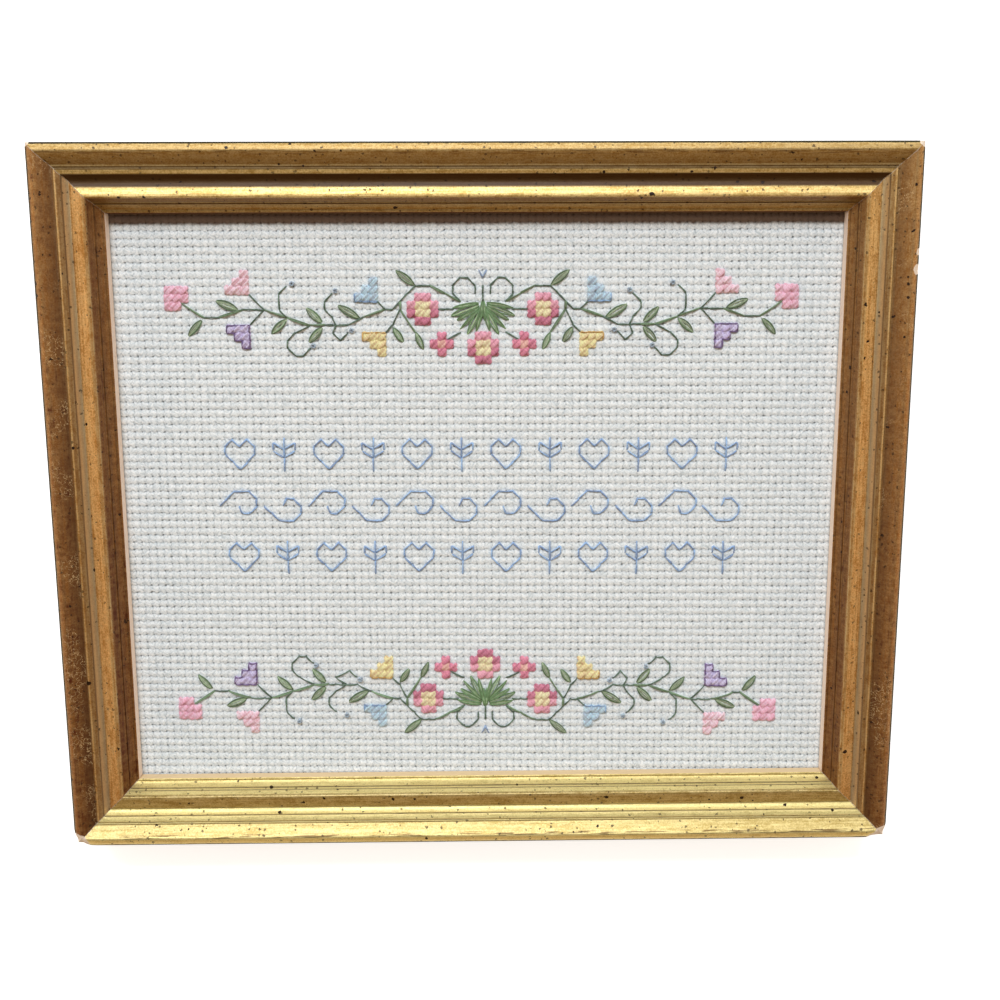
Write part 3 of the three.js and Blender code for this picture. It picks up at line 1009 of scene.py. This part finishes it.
def leaves(stems, bends, rise=0.3):
    """Long stitches from the foot of each leaf to its tip, bowed apart by these distances."""
    stitches = []
    for row, turn, side in HALVES:
        for foot, tip, breadth in stems:
            start, end = (hole(counted(across, row, side), up, row, turn) for across, up in (foot, tip))
            stitches += [(start, end, rise, bend * breadth) for bend in bends]
    return stitches


def block(left, right, bottom, top):
    """Squares from left to right and bottom to top, the ends not counted."""
    return [(across, up) for across in range(left, right) for up in range(bottom, top)]


ROUND_FLOWER = [square for square in block(6, 10, -2, 2) if square not in ((6, -2), (9, -2), (6, 1), (9, 1))]
EYE = block(7, 9, -1, 1)
PETALS = [square for square in ROUND_FLOWER if square not in EYE]
MIDDLE_FLOWER = [(across - 8, up - 5) for across, up in PETALS if across >= 8]
MIDDLE_EYE = [(0, -6), (0, -5)]
SMALL_FLOWER_ARMS = [(4, -5), (6, -5), (5, -4), (5, -6)]
ROSEBUD = [square for square in block(39, 42, 0, 3) if square != (39, 0)]
PINK_TULIP = [(31, 2), (32, 2), (33, 2), (31, 3), (32, 3), (31, 4)]
BLUE_TULIP = [(14, 3), (14, 2), (15, 2), (14, 1), (15, 1), (16, 1)]
YELLOW_TULIP = [(13, -4), (14, -4), (15, -4), (13, -5), (14, -5), (13, -6)]
PURPLE_TULIP = [(31, -3), (32, -3), (33, -3), (31, -4), (32, -4), (31, -5)]

sew("dark_petals", "CC7F96", crosses(PETALS[::2] + MIDDLE_FLOWER[::2]), **CROSS_STITCH)
sew("light_petals", "EDAABA", crosses(PETALS[1::2] + MIDDLE_FLOWER[1::2]), **CROSS_STITCH)
sew("flower_eyes", "F8E6B8", crosses(EYE + MIDDLE_EYE), **CROSS_STITCH)
sew("small_flowers", "DA8AA0", crosses(SMALL_FLOWER_ARMS), **CROSS_STITCH)
sew("small_flower_eyes", "F8C0B2", crosses([(5, -5)]), **CROSS_STITCH)
sew("rosebuds", "FFC3D3", crosses(ROSEBUD), **CROSS_STITCH)
sew("pink_tulips", "FFD2DB", crosses(PINK_TULIP), **CROSS_STITCH)
sew("blue_tulips", "BCD8E8", crosses(BLUE_TULIP), **CROSS_STITCH)
sew("yellow_tulips", "F7E2AA", crosses(YELLOW_TULIP), **CROSS_STITCH)
sew("purple_tulips", "D0CAF0", crosses(PURPLE_TULIP), **CROSS_STITCH)

TULIP_UP = [(0, 0), (3, 0), (3, 1), (2, 1), (2, 2), (1, 2), (1, 3), (0, 3), (0, 0)]


def tulip_edge(across, up, turn=1):
    """The stepped outline of a tulip whose corner nearest the vine is here, one stitch to a square."""
    path = []
    for (a, b), (c, d) in zip(TULIP_UP, TULIP_UP[1:]):
        count = max(abs(c - a), abs(d - b))
        for i in range(count):
            path.append((across + a + (c - a) * i / count, up + turn * (b + (d - b) * i / count)))
    return [path + [(across, up)]]


BACK_STITCH = {"strands": 2, "spread": 0.2, "twist": 2.5, "radius": 0.14}
sew("purple_outlines", "6E5A88", lines(tulip_edge(31, -2, -1), 0.5), **BACK_STITCH)
sew("gold_outlines", "C9A458", lines([path[:5] for path in tulip_edge(13, -3, -1)], 0.5), **BACK_STITCH)
sew("blue_outlines", "86A9CC", lines([path[:5] for path in tulip_edge(14, 1)], 0.5), **BACK_STITCH)

TENDRILS = [
    [(0, 3), (0, 2), (0, 1)],
    [(1, 2), (1, 3), (2, 4), (3, 4), (4, 3), (4, 2), (3, 1)],
    [(3.8, 0), (5, 0), (6, 0)],
    [(7, 3), (8, 3), (9, 3), (10, 2), (11, 1), (12, 0), (13, 0), (14, 1)],
    [(16, -1), (18, -2), (20, -2), (21, -2)],
    [(11, 0), (12, -2), (13, -3)],
    [(3, -3), (5, -4)],
    [(19.5, -2), (20, -1), (21, 0), (21, 1), (20, 2)],
    [(19.5, -2), (20, -3), (19, -4), (18, -3)],
    [(29, 0), (30, 0), (32, 0)],
    [(26, -1), (27, 0), (27, 2), (26, 3)],
    [(23, -2), (25, -3), (26, -4), (26, -5), (25, -6), (24, -6), (23, -5)],
    [(29, 0), (31, 2)],
    [(29, 0), (31, -2)],
    [(35, -1), (37, -1)],
]
VINE = [
    [(3, 1), (5, 2), (7, 3)],
    [(13, 0), (16, -1)],
    [(11, 1), (11, 0), (9, -3)],
    [(21, -2), (23, -2), (26, -1), (29, 0)],
    [(32, 0), (35, -1)],
    [(37, -1), (40, 1)],
]
sew("tendrils", "55705E", lines(TENDRILS), **BACK_STITCH)
sew("vine", "718F6D", lines(VINE, 0.3), strands=2, spread=0.3, twist=1.5, radius=0.19)

# foot and tip of each leaf in the chart, and its breadth against a middling one
LEAVES = [
    ((9, 3), (11.5, 5), 1),
    ((9, -3), (8, -5.2), 0.8),
    ((12, -2.3), (10.6, -4.3), 0.9),
    ((16.3, -1.2), (19.3, 0.6), 1.1),
    ((21.3, -1.8), (23.5, 0.3), 1),
    ((21.3, -2.2), (23.2, -4.3), 1),
    ((26, -1.2), (28.1, -3.1), 1),
    ((32.4, 0), (35.4, 1.2), 1.1),
    ((37.2, -1.2), (39.2, -3.4), 0.9),
]
LEAF_STITCH = {"strands": 2, "spread": 0.16, "twist": 1, "radius": 0.12}
sew("leaf_edges", "587652", leaves(LEAVES, (-0.76, 0.76)), **LEAF_STITCH)
sew("leaf_middles", "A6BC98", leaves(LEAVES, (-0.3, 0.28), 0.2), **LEAF_STITCH)

FAN = [
    ((0.4, 0.8), (4.0, 0.2), 0.6),
    ((0.3, 0.6), (4.3, -0.9), 1),
    ((0.3, 0.4), (3.6, -1.5), 0.6),
    ((0.2, 0.3), (3.1, -2.6), 0.5),
    ((0.2, 0.2), (2.1, -3.3), 0.9),
    ((0.1, 0.6), (0.9, -2.9), 0.6),
    ((0.1, 1.1), (0.3, -1.6), 0.5),
]
sew("fan_edges", "688F5E", leaves(FAN, (-0.66, 0.66), 0.42), **LEAF_STITCH)
sew("fan_middles", "ABC79A", leaves(FAN, (0.05,), 0.3), **LEAF_STITCH)

KNOTS = [(19.5, 2.4), (17.5, -2.7), (25.2, 3.3), (22.6, -4.7)]
KNOT_REACH = 0.26  # squares


def knots(places):
    """Small rings of five stitches, each pulled up into a knot."""
    turns = [2 * math.pi * i / 5 for i in range(6)]
    ring = [(KNOT_REACH * math.cos(turn), KNOT_REACH * math.sin(turn)) for turn in turns]
    rings = [[(a + x, b + y) for x, y in ring] for a, b in places]
    return lines(rings, 0.5)


sew("pale_blue_knots", "A4B9C6", knots(KNOTS), strands=2, spread=0.2, twist=3, radius=0.16)
sew("pale_blue_tips", "8FA8C6", lines([[(0.5, 5), (0, 4)]]), **BACK_STITCH)

# The middle of the cloth. Three rows of small ornaments in steel blue back stitch: hearts and leafy sprigs
# by turns, with a running scroll in the row between.
HEART = [(0, -2), (-1, -1), (-2, 0), (-2, 1), (-1, 2), (0, 1), (1, 2), (2, 1), (2, 0), (1, -1), (0, -2)]
SPRIG_LEAVES = [(0, -0.5), (-1.5, 0.5), (-1.5, 1.6), (0, 0.6), (1.5, 1.6), (1.5, 0.5), (0, -0.5)]
SPRIG = [(0, -2.4), *SPRIG_LEAVES, (0, 2.2)]
SCROLL = [(0, 0), (1, 1), (2, 2), (4, 2), (5, 1), (5, 0), (4, -1), (3, -1), (2.6, 0)]
ORNAMENT_ROWS = (7, -7)  # squares over the middle row of holes
ORNAMENT_PITCH = 6
ROW_LENGTH, SCROLL_LENGTH = 68, 72


def ornaments():
    """Back stitches of the three rows, counted from the middle of the cloth."""
    stitches = []

    def work(path, across, up, turn=1):
        points = [hole(across + a, up + b * turn, 0, 1) for a, b in path]
        stitches.extend((start, end, 0.24, 0) for start, end in zip(points, points[1:]))

    for middle in ORNAMENT_ROWS:
        for number, across in enumerate(range(1 - ROW_LENGTH // 2, ROW_LENGTH // 2, ORNAMENT_PITCH)):
            work(HEART if number % 2 == 0 else SPRIG, across, middle)
    for number, across in enumerate(range(-SCROLL_LENGTH // 2, SCROLL_LENGTH // 2, ORNAMENT_PITCH)):
        work(SCROLL, across, 0, 1 if number % 2 == 0 else -1)
    return stitches


sew("middle_rows", "92B4DA", ornaments(), strands=2, spread=0.22, twist=2.5, radius=0.16)

# The board. Grey pulp board, which the cloth hides from the front and which shows at the back.
pulp, tree, shader = new_finish("pulp_board")
place = put(tree, "ShaderNodeTexCoord").outputs["Object"]
flecks = between(tree, grain(tree, place, 1800.0, 4.0, 0.7), 0.35, 0.7)
clouds = grain(tree, place, 120.0, 3.0)
pulp_colour = blended(tree, flecks, colour_of("8C7A62"), colour_of("B3A083"))
pulp_colour = blended(tree, times(tree, clouds, 0.4), pulp_colour, colour_of("7C6A52"))
join(tree, shader, {"Base Color": pulp_colour, "Roughness": 0.9})
raised(tree, shader, flecks, 0.4, 0.1)
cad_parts["board"].data.materials.clear()
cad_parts["board"].data.materials.append(pulp)
